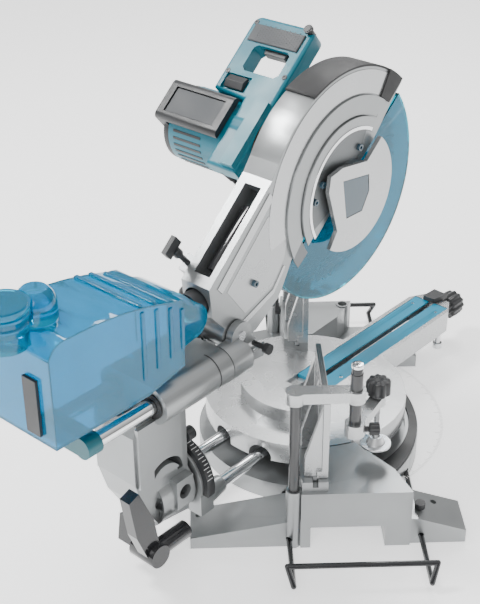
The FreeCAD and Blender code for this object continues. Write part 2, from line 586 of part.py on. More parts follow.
def head_case():
    near, far = S.near_face, S.far_face
    a, b = S.blade_a, S.blade_b
    shell = disc("case_radius", near, far)
    arm = prism([(-4, -24), (24, -42), (80, S.arm_low), (150, -30), (a - 60, -18), (a, 100), (230, 109),
                 (190, S.arm_high + 8), (20, S.arm_high + 6), (-6, 60)], near, far, "y")
    barrel = rod(25, far - near, (0, near, 0), "y")
    outline = fuse(shell, arm, barrel)
    below = prism([(a - 62, b + 46), (a - 90, b + 6), (a + 92, b + 6), (a + 150, b + 14), (a + 230, b + 20),
                   (a + 230, b - 230), (a - 230, b - 230), (a - 196, b + 12), (a - 130, b + 36)],
                  near - 5, far + 5, "y")
    inner = disc("case_inner", near + S.near_skin, far - S.far_skin)
    channel = prism([(36, 58), (176, 58), (176, 130), (36, 130)], -17, 11, "y")
    belly = prism([(30, -120), (160, -120), (150, 40), (30, 40)], near + 6, far - 7, "y")
    hinge = rod("spindle_radius + 0.05", 200, (0, -100, 0), "y")
    hub = disc(S.bore_radius, far - S.far_skin - 1, far + 2)
    collar = disc(S.collar_radius + 0.35, near - 9, near + S.near_skin + 1)
    steps = cut(disc(140, near - 4, near + 1), prism([(a - 200, b + 34), (a - 200, b - 200),
                (a + 200, b - 200), (a + 200, b + 34)], near - 10, near + 5, "y"), disc(112, near - 9, near + 9))
    bead = cut(disc(110, near - 7, near + 1), disc(90, near - 9, near + 9),
               prism([(a - 200, b + 24), (a - 200, b - 200), (a + 200, b - 200), (a + 200, b + 24)],
                     near - 10, near + 5, "y"))
    port = rod("nozzle_radius + 3.1", 57, (-12.5, 0, 87.7), turn=[("y", 90 + S.raise_angle)])
    lug = cut(span((32, 58), (far - 2, far + 18), (70, 92)), rod(4.05, 60, (45, far + 9, 50)))
    clip = cut(span((92, 104), (far - 2, far + 12), (-36, -20)),
               rod("cord_radius", 40, (90, far + 7, -28), "x"))
    body = cut(fuse(outline, steps, bead), below, inner, channel, belly, hinge, hub, port, collar)
    node("head_case", fuse(body, lug, clip), HEAD)


def head_shell_parts():
    near, far = S.near_face, S.far_face
    a, b = S.blade_a, S.blade_b
    gear = span((S.gear_rear, S.gear_front), (far, S.motor_near), (-112, S.slab_low - 1))
    gear = fuse(soften(gear, 10, along("y")), disc(46, far, S.motor_near))
    hollow = span((S.gear_rear + 6, S.gear_front - 6), (far - 5, S.motor_near - 7), (-104, S.slab_low - 8))
    shaft = rod(5.05, 60, (S.motor_a, far + 10, S.motor_b), "y")
    spindle = disc(S.bore_radius, far + 10, S.motor_near + 5)
    node("gear_housing", cut(gear, hollow, disc(40, far - 5, S.motor_near - 7), shaft, spindle), HEAD)
    node("spring_tube", rod("tube_radius", 100, (50, -3, 76), "x"), HEAD)
    cover = [(a - 90, b - 18), (a - 62, b - 10), (a - 34, b + 56), (a - 16, b + 71), (a + 8, b + 57),
             (a + 46, b + 13), (a + 89, b + 12)]
    arcs = ((a + 63.6, b - 63.6), (a - 30, b - 84.85))
    last = ((a - 72, b - 54), (a - 90, b - 18))
    plate = prism(cover + [arcs, last], S.cover_near, S.near_face - 8.2, "y")
    window = prism([(a - 5, b + 40), (a + 36, b - 8), (a + 20, b - 30), (a - 10, b - 40), (a - 38, b - 14)],
                   S.cover_near - 1, S.cover_near + 2, "y")
    collar = cut(disc(S.collar_radius, near - 8.5, S.guard_near + S.guard_skin), disc(26, near - 20, near + 20))
    node("centre_cover", fuse(cut(plate, window), collar), HEAD)
    brush = cut(disc("case_radius + 3", near - 1, far + 1), disc("case_radius", near - 9, far + 9))
    tip = cut(disc("case_radius + 3", near - 3.5, near), disc(141, near - 9, far + 9))
    sector = prism([(a + 60, b + 40), (a + 260, b + 22), (a + 260, b + 170), (a + 40, b + 230)], near - 20,
                   far + 20, "y")
    front = prism([(a + 60, b + 22), (a + 260, b + 22), (a + 260, b + 90)], near - 20, far + 20, "y")
    node("case_bumper", fuse(common(brush, sector), common(tip, front)), HEAD)
    node("case_screws", group(*[bolt(5, 6, (spot_a, near, spot_b), "-y") for spot_a, spot_b in
                                ((218, -8), (244, -2), (70, 20), (328, -35))]), HEAD)
    wing = span((31, 59), (far + 5, far + 13), (130, 146))
    node("depth_screw", fuse(rod(4, 78, (45, far + 9, 56)), wing, rod(7, 14, (45, far + 9, 118))), HEAD)


def handle():
    low, high = S.slab_low, S.slab_high
    near, far = S.slab_near, S.slab_far
    front, rear = S.slab_front, S.slab_rear
    grip = prism([(rear, near), (front - 14, near), ((front - 4, near + 4), (front, near + 14)),
                  (front, far - 14), ((front - 4, far - 4), (front - 14, far)), (306, far), (300, 110),
                  (rear, 110)], low, high)
    hole = prism([(S.hole_rear, S.hole_near + 6), (S.hole_rear + 6, S.hole_near),
                  (S.hole_front - 6, S.hole_near), (S.hole_front, S.hole_near + 6),
                  (S.hole_front, S.hole_far - 6), (S.hole_front - 6, S.hole_far),
                  (S.hole_rear + 6, S.hole_far), (S.hole_rear, S.hole_far - 6)], low - 5, high + 5)
    motor = rod("motor_radius", S.motor_far - S.motor_near, (S.motor_a, S.motor_near, S.motor_b), "y")
    ridge = prism([(rear + 4, near + 1), (302, near + 1), (312, near + 24), (rear + 4, near + 24)],
                  high - 2, high + 9)
    grip = soften(grip, 5, lambda m, d: m.z > high - 0.1 and abs(d.z) < 0.1)
    shell = fuse(cut(grip, hole), motor, ridge)
    inside = rod("motor_radius - motor_wall", S.motor_far - S.motor_near - 3,
                 (S.motor_a, S.motor_near - 4, S.motor_b), "y")
    panel = span((308, 334), (114, 160), (high - 6, high + 5))
    trigger_slot = span((S.hole_front - 2, S.hole_front + 18), (84, 132), (low + 5, high - 7))
    nub = rod(5.3, 30, (front - 6, near + 8, high - 14))
    guard = rod(7.5, 5, (199, 92, low))
    node("motor_housing", cut(shell, inside, panel, trigger_slot, nub, guard), HEAD)


def handle_parts():
    low, high = S.slab_low, S.slab_high
    near, far, front = S.slab_near, S.slab_far, S.slab_front
    pad = prism([(S.hole_front + 3, near + 10), (front - 14, near + 10), (front - 14, far - 10),
                 (S.hole_front + 3, far - 10)], high + 0.3, high + 3)
    node("handle_grip", soften(pad, 2, lambda m, d: m.z > high + 2.9), HEAD)
    band = fuse(span((230, 296), (112, S.motor_far + 18), (79.2, 90)),
                span((230, 296), (S.motor_far + 0.5, S.motor_far + 18), (-30, 85)))
    band = soften(band, 8, lambda m, d: abs(d.y) > 0.999 and m.z > 89)
    cap = rod("motor_radius - 1", 10, (S.motor_a, S.motor_far + 0.5, S.motor_b), "y")
    tool = span((242, 284), (124, S.motor_far + 6), (86, 95))
    node("motor_cover", cut(fuse(band, cap), tool), HEAD)
    rocker = [(311, high - 4), (331, high - 4), (331, high + 1), (321, high + 4.5), (311, high + 1)]
    node("lamp_switch", prism(rocker, 120, 154, "y"), HEAD)
    trigger = prism([(S.hole_front - 7, 88), (S.hole_front + 10, 86), (S.hole_front + 10, 130),
                     (S.hole_front - 7, 128)], low + 7, high - 9)
    node("trigger", trigger, HEAD)
    node("lock_off_button", fuse(rod(5, 20, (front - 6, near + 8, high - 10)),
                                 rod(7, 4, (front - 6, near + 8, high + 5))), HEAD)
    node("lamp_block", soften(span((316, 350), (S.far_face, S.slab_near), (18, 49)), 4, along("y")), HEAD)
    node("cord_guard", cut(cone(7.5, 5.2, 28, (199, 92, low + 5), "-z"), rod("cord_radius", 60, (199, 92, 10))),
         HEAD)


def drive():
    half = S.blade_thick / 2
    node("blade", cut(blade_blank(60), disc(S.bore_radius, -5, 5)), HEAD)
    flanges = [cut(disc(24, low, high), disc(S.bore_radius, -20, 20)) for low, high in
               ((half, 6.5), (-6.5, -half))]
    node("blade_flanges", group(*flanges, fuse(disc(11, -12, -6.5), disc(7, -16, -11))), HEAD)
    node("arbor_gear", fuse(disc(S.bore_radius - 0.05, -6.4, S.motor_near - 4), disc(38, 33, 43)), HEAD)
    motor_a, motor_b = S.motor_a, S.motor_b
    stator = cut(rod("motor_radius - motor_wall", 76, (motor_a, 98, motor_b), "y"),
                 rod(30, 120, (motor_a, 80, motor_b), "y"))
    node("stator", stator, HEAD)
    rotor = fuse(rod(28, 70, (motor_a, 101, motor_b), "y"), rod(5, 166, (motor_a, 38, motor_b), "y"),
                 rod(16, 16, (motor_a, 180, motor_b), "y"), rod(44, 8, (motor_a, 84, motor_b), "y"),
                 rod(9, 12, (motor_a, 39, motor_b), "y"))
    node("armature", rotor, HEAD)


def blade_blank(teeth):
    """Disc with one notch ahead of each tooth."""
    a, b = S.blade_a, S.blade_b
    half = S.blade_thick / 2
    outline = []
    pitch = 2 * math.pi / teeth
    for index in range(teeth):
        turn = index * pitch
        for radius, step in ((S.blade_radius, 0), (S.blade_radius - 1.2, 0.34), (S.blade_radius - 7.5, 0.66),
                             (S.blade_radius - 7, 0.96)):
            angle = turn + step * pitch
            outline.append((a + radius * math.cos(angle), b + radius * math.sin(angle)))
    return prism(outline, -half, half, "y")


def lower_guard():
    a, b = S.blade_a, S.blade_b
    near, far = S.guard_near, S.guard_far
    skin = S.guard_skin
    rim = cut(disc("guard_radius", near, far), disc("guard_radius - guard_skin", near + skin, far - skin),
              disc(140, far - 4, far + 4), disc(34, near - 4, near + 4))
    keep = prism([(a, b), (a + 240, b - 12), (a + 240, b - 240), (a - 240, b - 240), (a - 240, b + 30)],
                 near - 3, far + 3, "y")
    hub = cut(disc(44, near, near + skin), disc(34, near - 4, near + 4))
    node("lower_guard", fuse(common(rim, keep), hub), HEAD)


# ---------------------------------------------------------------- dust collection
def dust_outline(grow):
    """Side outline of the dust box, moved outwards by grow."""
    low, rear = S.box_low - grow, S.box_rear - grow
    u, z, radius = S.socket_u, S.socket_z, S.socket_radius + grow
    return [(S.box_front, low), (rear, low), (rear, 428), ((rear + 8, 442 + grow), (rear + 30, 447 + grow)),
            ((-410, 438 + grow), (-343, 420 + grow)), ((-300, 402 + grow), (u, z + radius)),
            ((u + radius, z), (u, z - radius)), (S.box_front + 66, low + 14)]


def dust():
    near, far = S.box_near, S.box_far
    wall = S.box_wall
    outer = prism(dust_outline(0), near, far, "y")
    nose = [span((S.socket_u - 46, S.socket_u + 60), (near - 1, S.socket_near), (200, 500)),
            span((S.socket_u - 46, S.socket_u + 60), (30, far + 1), (200, 500))]
    inner = prism(dust_outline(-wall), near + wall, far - wall, "y")
    inner_nose = [span((S.socket_u - 46 - wall, S.socket_u + 60), (near - 1, S.socket_near + wall), (200, 500)),
                  span((S.socket_u - 46 - wall, S.socket_u + 60), (30 - wall, far + 1), (200, 500))]
    body = cut(cut(outer, *nose), cut(inner, *inner_nose))
    mouth = rod("nozzle_radius + 0.4", 90, (S.socket_u + 4, 0, S.socket_z), "x")
    crown = fuse(rod(26, 24, (-506, 4, 441)), ball(26, (-506, 4, 465)))
    crown = common(crown, span((-540, -470), (-40, 40), (441, 486)))
    crown = cut(crown, rod(33.4, 60, (-552, 6, 451)))
    neck = rod(28, 21.6, (-552, 6, 430))
    node("dust_box", fuse(cut(body, mouth), crown, neck), ARM)
    node("dust_box_lid", fuse(rod(30, 34, (-552, 6, 452)), rod(33, 5, (-552, 6, 480))), ARM)
    node("dust_box_latch", span((S.box_rear - 5, S.box_rear - 0.4), (-38, -14), (318, 396)), ARM)
    rear_u = S.socket_u + 22
    nozzle = cut(fuse(rod("nozzle_radius", S.nozzle_front - rear_u, (rear_u, 0, S.socket_z), "x"),
                      rod("nozzle_radius + 3", 6, (S.nozzle_front - 6, 0, S.socket_z), "x")),
                 rod("nozzle_radius - nozzle_wall", 200, (rear_u - 50, 0, S.socket_z), "x"))
    node("dust_nozzle", nozzle, ARM)


# ---------------------------------------------------------------- cords
def cord(name, places, frame):
    """Flex along straight runs joined by tangent arcs."""
    points = [Vec(*place) for place in places]
    edges = []
    here = points[0]
    for before, corner, after in zip(points, points[1:], points[2:]):
        back, ahead = before - corner, after - corner
        half = (math.pi - back.getAngle(ahead)) / 2
        reach = 0.45 * min(back.Length, ahead.Length)
        bend = reach / math.tan(half)
        back.normalize()
        ahead.normalize()
        start, end = corner + back * reach, corner + ahead * reach
        middle = corner + (back + ahead).normalize() * (bend / math.cos(half) - bend)
        edges += [Part.LineSegment(here, start).toShape(), Part.Arc(start, middle, end).toShape()]
        here = end
        print(f"{name}: bend radius {bend:.0f} mm")
    edges.append(Part.LineSegment(here, points[-1]).toShape())
    line = Part.Wire(edges)
    section = Part.Wire([Part.Circle(points[0], points[1] - points[0], S.cord_radius).toShape()])
    tube = doc.addObject("Part::Feature", "flex")
    tube.Shape = line.makePipeShell([section], True, False)
    drawn = math.pi * S.cord_radius ** 2 * line.Length
    print(f"{name}: length {line.Length:.0f} mm, volume {tube.Shape.Volume / drawn:.4f} of section times length")
    node(name, tube, frame)


def cords():
    cord("head_lead", [(199, 92, 45), (199, 92, -5), (176, 64, -30), (138, 31, -28), (98, 31, -28)], HEAD)
    x, y, z = S.half_width - 10, S.gland_y, S.gland_z
    edge = S.coil_y - S.coil_radius
    cord("mains_lead", [(x, y, z), (x + 48, y, z), (S.coil_x - 33, edge + 4, 6), (S.coil_x + 11, edge, 8)], BASE)
    node("mains_coil", ring("coil_radius", "coil_height / 2", (S.coil_x, S.coil_y, S.coil_height / 2)), BASE)
    far = S.coil_y + S.coil_radius
    start = S.coil_x + 14
    plug = [cone(4.5, 8, 26, (start, far, 9), "x"), rod(15, 30, (start + 25, far, 15), "x"),
            rod(2.4, 19, (start + 54, far - 9, 15), "x"), rod(2.4, 19, (start + 54, far + 9, 15), "x")]
    node("mains_plug", fuse(*plug), BASE)


base()
base_parts()
fences()
holders()
vise()
turntable()
turntable_parts()
lower_slide()
bevel_arm()
bevel_parts()
upper_slide()
head_case()
head_shell_parts()
handle()
handle_parts()
drive()
lower_guard()
dust()
cords()

# ---------------------------------------------------------------- checks and files
doc.recompute()
for item in doc.Objects:
    if any(flag in item.State for flag in ("Invalid", "Error")):
        raise RuntimeError(f"{item.Name} ({item.Label}) did not recompute")
os.makedirs("parts", exist_ok=True)
for name, item in NODES.items():
    shape = item.Shape
    if shape.isNull() or not shape.isValid():
        raise RuntimeError(f"{name} has no valid shape")
    shape.exportStep(f"parts/{name}.step")
    print(f"{name}: {len(shape.Solids)} solid, {shape.Volume / 1000:.1f} cm3")
print(len(NODES), "nodes")
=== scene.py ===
"""Sliding compound mitre saw: finishes, fine detail, cords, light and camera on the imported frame."""
import math

import bmesh
import bpy
from mathutils import Matrix, Vector


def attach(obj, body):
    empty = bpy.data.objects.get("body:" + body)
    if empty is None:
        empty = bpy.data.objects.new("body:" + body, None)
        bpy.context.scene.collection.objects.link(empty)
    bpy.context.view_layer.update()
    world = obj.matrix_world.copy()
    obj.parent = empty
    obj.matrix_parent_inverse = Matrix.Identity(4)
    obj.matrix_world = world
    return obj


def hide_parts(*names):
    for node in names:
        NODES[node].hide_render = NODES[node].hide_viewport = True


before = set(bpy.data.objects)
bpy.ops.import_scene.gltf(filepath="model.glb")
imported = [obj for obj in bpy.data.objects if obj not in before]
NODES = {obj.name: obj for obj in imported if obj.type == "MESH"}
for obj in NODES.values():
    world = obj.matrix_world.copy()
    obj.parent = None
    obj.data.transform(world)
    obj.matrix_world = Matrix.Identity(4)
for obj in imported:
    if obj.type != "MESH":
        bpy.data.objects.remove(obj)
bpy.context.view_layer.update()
MM = 0.001
POLE_V, POLE_Z = 36, 266
BEVEL_Z = 97
POST_X, POST_Y, POST_TOP = -258, -45, 297
VISE_X, VISE_Y = -190, -85
COVER_TOP = 86.1

# ---------------------------------------------------------------- frames (millimetres in, metres out)
MITRE = math.radians(46.85)
RAISE = math.radians(41)
BASE = Matrix.Identity(4)
ARM = Matrix.Rotation(MITRE - math.pi / 2, 4, "Z")
HEAD = ARM @ Matrix.Translation((-0.195, 0, 0.295)) @ Matrix.Rotation(-RAISE, 4, "Y")
TURN = {"z": Matrix.Identity(4), "x": Matrix.Rotation(math.pi / 2, 4, "Y"),
        "-y": Matrix.Rotation(math.pi / 2, 4, "X")}


# ---------------------------------------------------------------- materials
def finish(name, color, rough, metal=0.0, coat=0.0, grain=400, grain_bump=0.0, mottle=0.06, wear=0.0,
           clear=0.0, ior=1.5, specular=0.5, stretch=(1, 1, 1), smudge=0.08, wear_color=(0.8, 0.8, 0.8)):
    """Surface with colour mottling, uneven gloss, fine relief and rubbed edges."""
    material = bpy.data.materials.new(name)
    material.use_nodes = True
    tree = material.node_tree
    links = tree.links.new
    shader = tree.nodes["Principled BSDF"]
    shader.inputs["Metallic"].default_value = metal
    shader.inputs["IOR"].default_value = ior
    shader.inputs["Specular IOR Level"].default_value = specular
    shader.inputs["Coat Weight"].default_value = coat
    shader.inputs["Coat Roughness"].default_value = 0.08
    shader.inputs["Transmission Weight"].default_value = clear
    place = tree.nodes.new("ShaderNodeTexCoord")
    mapping = tree.nodes.new("ShaderNodeMapping")
    mapping.inputs["Scale"].default_value = stretch
    links(place.outputs["Object"], mapping.inputs["Vector"])

    def noise(scale, detail):
        node = tree.nodes.new("ShaderNodeTexNoise")
        node.inputs["Scale"].default_value = scale
        node.inputs["Detail"].default_value = detail
        links(mapping.outputs["Vector"], node.inputs["Vector"])
        return node

    def spread(source, low, high):
        node = tree.nodes.new("ShaderNodeMapRange")
        node.inputs["To Min"].default_value = low
        node.inputs["To Max"].default_value = high
        node.inputs["From Min"].default_value = 0.3
        node.inputs["From Max"].default_value = 0.7
        links(source, node.inputs["Value"])
        return node.outputs["Result"]

    broad, fine = noise(22, 4), noise(grain, 3)
    shade = tree.nodes.new("ShaderNodeHueSaturation")
    shade.inputs["Color"].default_value = (*color, 1)
    links(spread(broad.outputs["Fac"], 1 - mottle, 1 + mottle), shade.inputs["Value"])
    surface = shade.outputs["Color"]
    if wear:
        geometry = tree.nodes.new("ShaderNodeNewGeometry")
        edge = tree.nodes.new("ShaderNodeMapRange")
        edge.inputs["From Min"].default_value = 0.52
        edge.inputs["From Max"].default_value = 0.62
        edge.inputs["To Max"].default_value = wear
        links(geometry.outputs["Pointiness"], edge.inputs["Value"])
        rubbed = tree.nodes.new("ShaderNodeMix")
        rubbed.data_type = "RGBA"
        rubbed.inputs["B"].default_value = (*wear_color, 1)
        links(edge.outputs["Result"], rubbed.inputs["Factor"])
        links(surface, rubbed.inputs["A"])
        surface = rubbed.outputs["Result"]
    links(surface, shader.inputs["Base Color"])
    links(spread(broad.outputs["Fac"], max(0.02, rough - smudge), rough + smudge), shader.inputs["Roughness"])
    if grain_bump:
        bump = tree.nodes.new("ShaderNodeBump")
        bump.inputs["Strength"].default_value = grain_bump
        bump.inputs["Distance"].default_value = 0.0004
        links(fine.outputs["Fac"], bump.inputs["Height"])
        links(bump.outputs["Normal"], shader.inputs["Normal"])
    return material


CAST = finish("cast_silver", (0.34, 0.352, 0.356), 0.33, metal=0.76, grain=1400, grain_bump=0.10, mottle=0.04,
              smudge=0.04, wear=0.10, wear_color=(0.8, 0.81, 0.82))
# Darker copy of the cast silver: painted shade for the blade case bands
CAST_PAINTED_SHADE = finish("cast_painted_shade", (0.17, 0.18, 0.185), 0.40, metal=0.7, grain=1400, grain_bump=0.10, smudge=0.04)
SATIN = finish("satin_silver", (0.50, 0.51, 0.515), 0.26, metal=0.8, grain=1200, grain_bump=0.05, mottle=0.03,
               smudge=0.03)
TABLE = finish("machined_table", (0.47, 0.48, 0.485), 0.27, metal=0.8, grain=500, grain_bump=0.012, mottle=0.02,
               smudge=0.03)
CHROME = finish("chrome_pole", (0.86, 0.87, 0.88), 0.07, metal=1.0, grain=1200, grain_bump=0.02, mottle=0.02,
                smudge=0.03)
STEEL = finish("bright_steel", (0.66, 0.67, 0.68), 0.26, metal=1.0, grain=1500, grain_bump=0.08)
BLADE = finish("blade_steel", (0.62, 0.66, 0.68), 0.24, metal=1.0, grain=900, grain_bump=0.08, stretch=(1, 1, 6))
TEAL = finish("teal_plastic", (0.0, 0.14, 0.20), 0.40, coat=0.08, specular=0.35, grain=1400,
              grain_bump=0.12, mottle=0.05, wear=0.15, wear_color=(0.10, 0.42, 0.47))
TEAL_DARK = finish("dark_teal_plastic", (0.01, 0.12, 0.15), 0.35, grain=1400, grain_bump=0.15)
BLACK = finish("black_plastic", (0.022, 0.023, 0.025), 0.42, grain=1500, grain_bump=0.3, mottle=0.15, wear=0.25,
               wear_color=(0.12, 0.12, 0.12))
GLOSS_BLACK = finish("gloss_black", (0.012, 0.012, 0.014), 0.16, coat=0.4, grain=900, grain_bump=0.05)
GREY_GRIP = finish("grey_soft_grip", (0.055, 0.06, 0.065), 0.55, grain=1800, grain_bump=0.5, mottle=0.12)
RUBBER = finish("black_rubber", (0.018, 0.018, 0.019), 0.6, grain=1200, grain_bump=0.4)
CYAN = finish("cyan_plastic", (0.0, 0.22, 0.36), 0.45, specular=0.3, grain=1500, grain_bump=0.2,
              mottle=0.08, wear=0.2, wear_color=(0.2, 0.6, 0.7))
CLEAR_BLUE = finish("clear_blue", (0.0, 0.42, 0.66), 0.05, clear=0.80, ior=1.45, grain=300, grain_bump=0.03,
                    mottle=0.04, smudge=0.03)
CLEAR_TEAL = finish("clear_teal", (0.008, 0.32, 0.43), 0.05, clear=0.92, ior=1.4, grain=300, grain_bump=0.03,
                    mottle=0.04, smudge=0.03)
WINDOW = finish("window_blue", (0.03, 0.07, 0.10), 0.12, coat=0.5, grain=800, grain_bump=0.05)
WHITE = finish("scale_white", (0.8, 0.8, 0.8), 0.5, grain=900, grain_bump=0.05)
COPPER = finish("copper_winding", (0.55, 0.24, 0.12), 0.35, metal=0.9, grain=600, grain_bump=0.3)
ENAMEL = finish("black_enamel", (0.015, 0.016, 0.018), 0.2, coat=0.3, grain=900, grain_bump=0.06, wear=0.2)

LOOK = {
    CAST: "base fence_rails slide_holder bevel_arm pivot_bracket head_case gear_housing",
    SATIN: "centre_cover left_fence right_fence vise_upper_arm vise_lower_arm",
    TABLE: "turntable",
    CHROME: "lower_poles upper_poles",
    TEAL: "motor_housing", TEAL_DARK: "pole_end_cap",
    BLACK: "mitre_scale lock_knobs detent_lever bevel_scale bevel_release_knob head_lock_pin depth_screw "
           "motor_cover lamp_switch trigger lock_off_button lamp_block dust_box_latch dust_nozzle",
    GLOSS_BLACK: "bevel_lever spring_tube",
    CLEAR_BLUE: "dust_box dust_box_lid", CLEAR_TEAL: "lower_guard",
    BLADE: "blade", CYAN: "kerf_boards",
    RUBBER: "foot_pads case_bumper cord_guard mains_plug",
    ENAMEL: "left_work_holder right_work_holder vise_rod vise_post",
    STEEL: "vise_plate table_screws pivot_bolt blade_flanges arbor_gear", COPPER: "stator armature",
    GREY_GRIP: "handle_grip",
    WINDOW: "case_screws",
}
EDGE = {"base": 2.2, "head_case": 2.0, "motor_housing": 2.5, "turntable": 1.2, "bevel_arm": 3.0,
        "motor_cover": 2.0, "dust_box": 9.0, "pivot_bracket": 2.5, "slide_holder": 1.5, "centre_cover": 1.2,
        "vise_upper_arm": 2.5, "vise_lower_arm": 2.5, "left_fence": 1.2, "right_fence": 1.2,
        "bevel_lever": 3.5, "gear_housing": 1.5, "pole_end_cap": 2.0, "lower_guard": 0.5, "blade": 0,
        "left_work_holder": 0, "right_work_holder": 0, "lower_poles": 0.8, "upper_poles": 0.8,
        "dust_box_lid": 3.0, "trigger": 2.0, "spring_tube": 3.0, "detent_lever": 1.2, "fence_rails": 1.0}
SMALL_EDGE = 0.6
EDGE_ANGLE = 32
WELD_GAP = 2e-6


def soften(obj, width):
    """Rounded edges and smooth shading without touching the mesh."""
    weld = obj.modifiers.new("weld", "WELD")
    weld.merge_threshold = WELD_GAP
    if width:
        bevel = obj.modifiers.new("edge", "BEVEL")
        bevel.width = width * MM
        bevel.segments = 3
        bevel.limit_method = "ANGLE"
        bevel.angle_limit = math.radians(EDGE_ANGLE)
        bevel.harden_normals = True
        bevel.use_clamp_overlap = True


for material, names in LOOK.items():
    for name in names.split():
        NODES[name].data.materials.clear()
        NODES[name].data.materials.append(material)
for name, obj in NODES.items():
    soften(obj, EDGE.get(name, SMALL_EDGE))


# ---------------------------------------------------------------- shapes
SHARP_ANGLE = 35


def piece(name, bm, material, body, place, width=0.0, smooth=True):
    """Finished mesh, drawn in millimetres in its own frame, riding on a body."""
    bmesh.ops.recalc_face_normals(bm, faces=bm.faces)
    mesh = bpy.data.meshes.new(name)
    bm.to_mesh(mesh)
    bm.free()
    mesh.transform(place @ Matrix.Scale(MM, 4))
    mesh.materials.append(material)
    obj = bpy.data.objects.new(name, mesh)
    bpy.context.scene.collection.objects.link(obj)
    if smooth:
        mesh.shade_smooth()
        mesh.set_sharp_from_angle(angle=math.radians(SHARP_ANGLE))
    if width:
        soften(obj, width)
    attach(obj, body)
    return obj


def block(bm, x, y, z, turn=None):
    """Box between two limits on each axis."""
    corners = [Vector((i, j, k)) for k in z for j in y for i in x]
    if turn:
        corners = [turn @ corner for corner in corners]
    verts = [bm.verts.new(corner) for corner in corners]
    for face in ((0, 2, 3, 1), (4, 5, 7, 6), (0, 1, 5, 4), (2, 6, 7, 3), (0, 4, 6, 2), (1, 3, 7, 5)):
        bm.faces.new([verts[index] for index in face])


def lathe(bm, profile, at, along="z", steps=48, flute=0, depth=0.0):
    """Turned solid: (radius, height) pairs about an axis, with scalloped sides if flute is set."""
    place = Matrix.Translation(Vector(at)) @ TURN[along]
    rows = []
    for radius, height in profile:
        turned = []
        for step in range(steps):
            angle = 2 * math.pi * step / steps
            wide = radius - depth * (0.5 - 0.5 * math.cos(flute * angle)) if flute and radius > 6 else radius
            turned.append(bm.verts.new(place @ Vector((wide * math.cos(angle), wide * math.sin(angle), height))))
        rows.append(turned)
    for low, high in zip(rows, rows[1:]):
        for step in range(steps):
            after = (step + 1) % steps
            bm.faces.new((low[step], low[after], high[after], high[step]))
    bm.faces.new(rows[0][::-1])
    bm.faces.new(rows[-1])


def slab(bm, outline, low, high, plane="z"):
    """Outline pushed from low to high along an axis."""
    place = {"z": lambda p, h: (p[0], p[1], h), "y": lambda p, h: (p[0], h, p[1])}[plane]
    bottom = [bm.verts.new(place(p, low)) for p in outline]
    top = [bm.verts.new(place(p, high)) for p in outline]
    count = len(outline)
    for index in range(count):
        after = (index + 1) % count
        bm.faces.new((bottom[index], bottom[after], top[after], top[index]))
    bm.faces.new(bottom[::-1])
    bm.faces.new(top)


def arc(centre, radius, start, end, steps=24):
    return [(centre[0] + radius * math.cos(math.radians(start + (end - start) * step / steps)),
             centre[1] + radius * math.sin(math.radians(start + (end - start) * step / steps)))
            for step in range(steps + 1)]


def band(bm, centre, inner, outer, start, end, low, high, plane="y", steps=40):
    """Part of a flat ring."""
    ring = arc(centre, outer, start, end, steps) + arc(centre, inner, end, start, steps)
    place = {"y": lambda p, h: (p[0], h, p[1]), "x": lambda p, h: (h, p[0], p[1])}[plane]
    bottom = [bm.verts.new(place(p, low)) for p in ring]
    top = [bm.verts.new(place(p, high)) for p in ring]
    count = len(ring)
    for index in range(count):
        after = (index + 1) % count
        bm.faces.new((bottom[index], bottom[after], top[after], top[index]))
    for index in range(steps):
        other = count - 1 - index
        bm.faces.new((top[index], top[index + 1], top[other - 1], top[other]))
        bm.faces.new((bottom[index], bottom[other], bottom[other - 1], bottom[index + 1]))


def screw(name, at, along, body, place, radius):
    """Screw head with a round recess."""
    bm = bmesh.new()
    lathe(bm, [(radius, 0), (radius, 0.8), (radius * 0.85, 1.4), (radius * 0.4, 1.5), (radius * 0.3, 0.7)],
          at, along, 24)
    return piece(name, bm, BLACK, body, place)


# ---------------------------------------------------------------- head details
BLADE_A, BLADE_B = 272, -65
bm = bmesh.new()
slab(bm, [(267, -26), (306, -72), (292, -94), (262, -104), (235, -79)], -41.6, -40.4, "y")
piece("cover_window", bm, WINDOW, "head", HEAD, 0.4)

# Blade case face bands: the dark ring and inner plate are painted shade, the satin ring is a painted lit band,
# the chrome bead is a painted highlight
bm = bmesh.new()
band(bm, (BLADE_A, BLADE_B), 112.5, 139.5, 14, 176, -27.6, -26.6)
piece("case_painted_shade_ring", bm, CAST_PAINTED_SHADE, "head", HEAD, 0)
bm = bmesh.new()
band(bm, (BLADE_A, BLADE_B), 142, 176, 14, 150, -27.9, -26.8)
piece("case_painted_light_ring", bm, SATIN, "head", HEAD, 0.3)
bm = bmesh.new()
band(bm, (BLADE_A, BLADE_B), 91, 96, 20, 168, -35.0, -33.6)
piece("case_painted_highlight_bead", bm, CHROME, "head", HEAD, 0.3)
bm = bmesh.new()
band(bm, (BLADE_A, BLADE_B), 46, 89.5, 22, 165, -28.2, -26.8)
piece("case_inner_plate_painted_shade", bm, CAST_PAINTED_SHADE, "head", HEAD, 0.3)

bm = bmesh.new()
slab(bm, [(28, 70), (170, 78), (176, 84), (176, 92), (28, 84)], -28.4, -26.8, "y")
slab(bm, [(10, -8), (80, -34), (120, -26), (120, -20), (84, -27), (16, 0)], -28.4, -26.8, "y")
piece("arm_side_ribs", bm, SATIN, "head", HEAD, 0.6)
bm = bmesh.new()
slab(bm, [(30, 2), (86, -22), (126, -14), (158, 8), (164, 60), (150, 68), (34, 62)], -27.5, -26.9, "y")
piece("arm_side_panel", bm, finish("panel_silver", (0.44, 0.45, 0.455), 0.30, metal=0.72, grain=1400,
      grain_bump=0.08), "head", HEAD, 0.25)

for index, spot in enumerate(((349, 64), (336, 162), (422, 162), (300, 62), (202, 64))):
    screw(f"housing_screw_{index}", (spot[0], spot[1], 77.4), "z", "head", HEAD, 4.2)

bm = bmesh.new()
slab(bm, [(243, 125), (283, 125), (283, 219), (243, 219)], COVER_TOP, COVER_TOP + 1.5, "z")
piece("cover_panel", bm, GREY_GRIP, "head", HEAD, 0.7)

